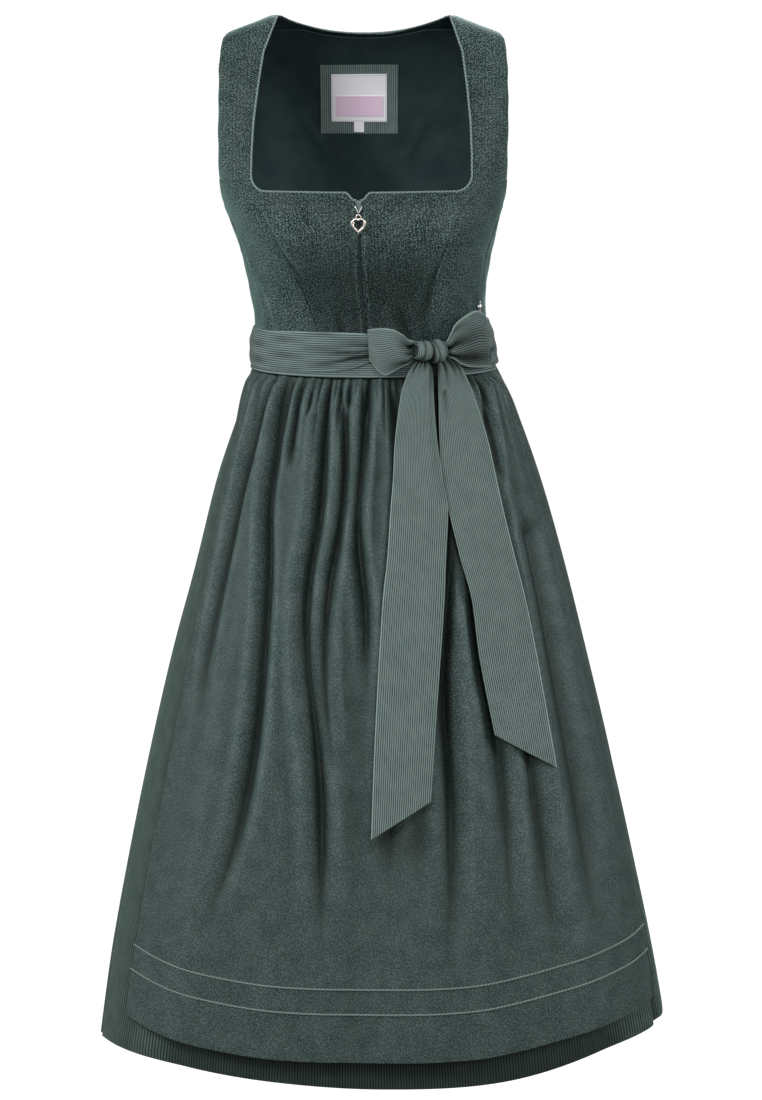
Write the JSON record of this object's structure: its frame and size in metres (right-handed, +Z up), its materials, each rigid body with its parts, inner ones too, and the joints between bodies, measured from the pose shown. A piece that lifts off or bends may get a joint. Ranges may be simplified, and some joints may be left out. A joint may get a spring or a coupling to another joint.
{
  "type": "dirndl dress",
  "caption": "Sleeveless dirndl dress with square piped neck, zipped bodice, full gathered skirt and a sash-tied apron, filled out as worn.",
  "frame": {"origin": "midway between the two shoulder neck points, where the dress is held", "axes": "+Z up, -Y is the front that the wearer faces, +X is the wearer's left"},
  "size_m": [0.5704, 0.4366, 1.0348],
  "materials": {
    "jacquard": "dark green pebbled jacquard, slight sheen",
    "lining": "smooth dark green lining twill",
    "label_cloth": "plain white woven label, blank",
    "label_print": "pale pink woven panel, blank",
    "piping": "light green twisted piping cord",
    "zip_tape": "dark woven zip tape",
    "gunmetal": "gunmetal plated zip metal",
    "rose_gold": "polished rose gold plating",
    "silver": "polished silver",
    "skirt_rib": "fine ribbed olive green skirt cloth",
    "apron_cloth": "dark green small-patterned jacquard, satin sheen",
    "sash_rib": "grey green ribbed ottoman ribbon cloth",
    "cord": "pale thin cord"
  },
  "bodies": {
    "dress": {"apron_band": "sash_rib", "apron_panel": "apron_cloth", "apron_piping_lower": "piping", "apron_piping_upper": "piping", "back_lining": "lining", "bodice_back": "jacquard", "bodice_back_side_left": "jacquard", "bodice_back_side_right": "jacquard", "bodice_front_left": "jacquard", "bodice_front_right": "jacquard", "bodice_side_left": "jacquard", "bodice_side_right": "jacquard", "bow_knot": "sash_rib", "bow_loop_left": "sash_rib", "bow_loop_right": "sash_rib", "bow_tail_left": "sash_rib", "bow_tail_right": "sash_rib", "button_loop": "cord", "label": "label_cloth", "label_panel": "label_print", "label_patch": "lining", "neck_piping": "piping", "sash_back": "sash_rib", "sash_left": "sash_rib", "sash_right": "sash_rib", "side_button": "silver", "size_tab": "label_cloth", "skirt_back": "skirt_rib", "skirt_front": "skirt_rib", "zip_slider": "gunmetal", "zip_tape": "zip_tape"},
    "zip_pull": {"zip_pull": "rose_gold"}
  },
  "joints": [
    {"name": "zip_pull_hinge", "type": "hinge", "parent": "dress", "child": "zip_pull", "pos_m": [-0.00453, -0.11827, -0.186], "axis": [-1, 0, 0], "range_deg": [0, 150]}
  ]
}
